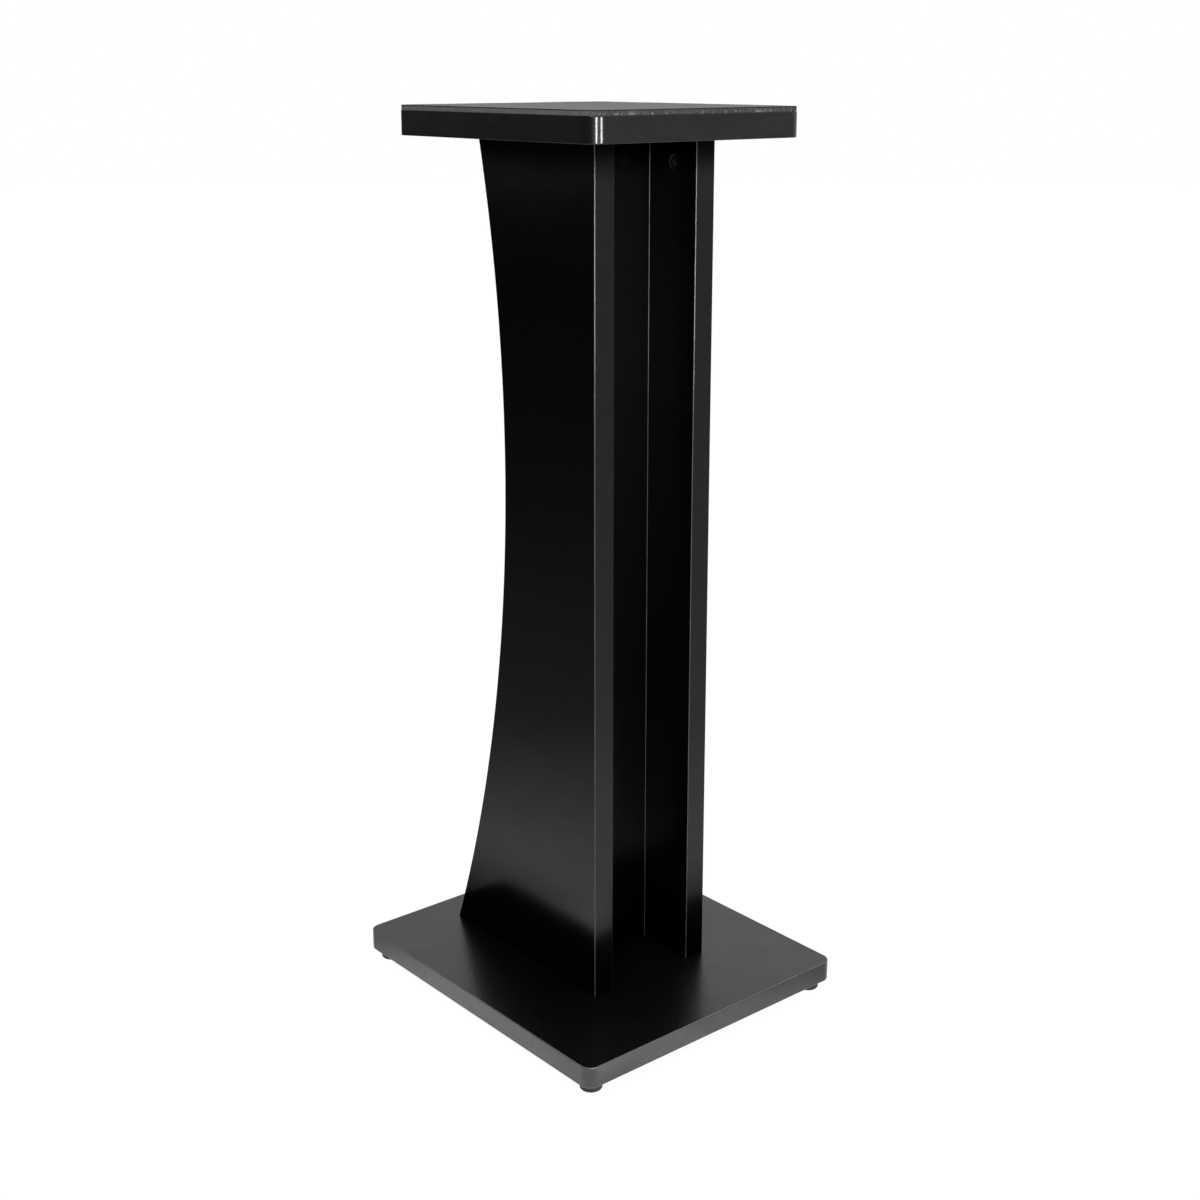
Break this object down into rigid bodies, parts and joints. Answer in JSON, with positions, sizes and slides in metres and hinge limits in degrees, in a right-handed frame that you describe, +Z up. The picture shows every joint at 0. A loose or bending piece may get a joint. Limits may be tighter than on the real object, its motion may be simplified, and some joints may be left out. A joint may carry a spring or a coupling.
{
  "type": "speaker stand",
  "caption": "Tall black wooden speaker stand: H-section column with a concave rear edge, base plate on rubber feet, rounded top plate with a thin foam pad.",
  "frame": {"origin": "on the floor, under the middle of the base plate", "axes": "+Z up, -Y to the front (the straight front edges of the side boards), +X to the stand's right seen from the front"},
  "size_m": [0.337, 0.378, 0.914],
  "materials": {
    "black_board": "satin",
    "foam_pad": "matte",
    "foot_rubber": "matte",
    "zinced_steel": "satin",
    "cam_zinc": "satin",
    "brass_insert": "satin",
    "beech": "matte"
  },
  "bodies": {
    "stand": {"base_bolt_front_left": "zinced_steel", "base_bolt_front_right": "zinced_steel", "base_bolt_rear_left": "zinced_steel", "base_bolt_rear_right": "zinced_steel", "base_plate": "black_board", "cam_bolt_front_left": "zinced_steel", "cam_bolt_front_right": "zinced_steel", "cam_bolt_rear_left": "zinced_steel", "cam_bolt_rear_right": "zinced_steel", "dowel_base_front_left": "beech", "dowel_base_front_right": "beech", "dowel_base_rear_left": "beech", "dowel_base_rear_right": "beech", "dowel_top_left": "beech", "dowel_top_right": "beech", "dowel_web_left_1": "beech", "dowel_web_left_2": "beech", "dowel_web_left_3": "beech", "dowel_web_right_1": "beech", "dowel_web_right_2": "beech", "dowel_web_right_3": "beech", "foot_front_left": "foot_rubber", "foot_front_right": "foot_rubber", "foot_rear_left": "foot_rubber", "foot_rear_right": "foot_rubber", "foot_screw_front_left": "zinced_steel", "foot_screw_front_right": "zinced_steel", "foot_screw_rear_left": "zinced_steel", "foot_screw_rear_right": "zinced_steel", "foot_washer_front_left": "zinced_steel", "foot_washer_front_right": "zinced_steel", "foot_washer_rear_left": "zinced_steel", "foot_washer_rear_right": "zinced_steel", "side_board_left": "black_board", "side_board_right": "black_board", "threaded_insert_front_left": "brass_insert", "threaded_insert_front_right": "brass_insert", "threaded_insert_rear_left": "brass_insert", "threaded_insert_rear_right": "brass_insert", "top_pad": "foam_pad", "top_plate": "black_board", "web_panel": "black_board"},
    "cam_front_left": {"cam_lock_front_left": "cam_zinc"},
    "cam_front_right": {"cam_lock_front_right": "cam_zinc"},
    "cam_rear_left": {"cam_lock_rear_left": "cam_zinc"},
    "cam_rear_right": {"cam_lock_rear_right": "cam_zinc"}
  },
  "joints": [
    {"name": "cam_turn_front_left", "type": "hinge", "parent": "stand", "child": "cam_front_left", "pos_m": [-0.0513, -0.057, 0.861], "axis": [1, 0, 0], "range_deg": [0, 180]},
    {"name": "cam_turn_front_right", "type": "hinge", "parent": "stand", "child": "cam_front_right", "pos_m": [0.0513, -0.057, 0.861], "axis": [-1, 0, 0], "range_deg": [0, 180]},
    {"name": "cam_turn_rear_left", "type": "hinge", "parent": "stand", "child": "cam_rear_left", "pos_m": [-0.0513, 0.05841, 0.861], "axis": [1, 0, 0], "range_deg": [0, 180]},
    {"name": "cam_turn_rear_right", "type": "hinge", "parent": "stand", "child": "cam_rear_right", "pos_m": [0.0513, 0.05841, 0.861], "axis": [-1, 0, 0], "range_deg": [0, 180]}
  ]
}
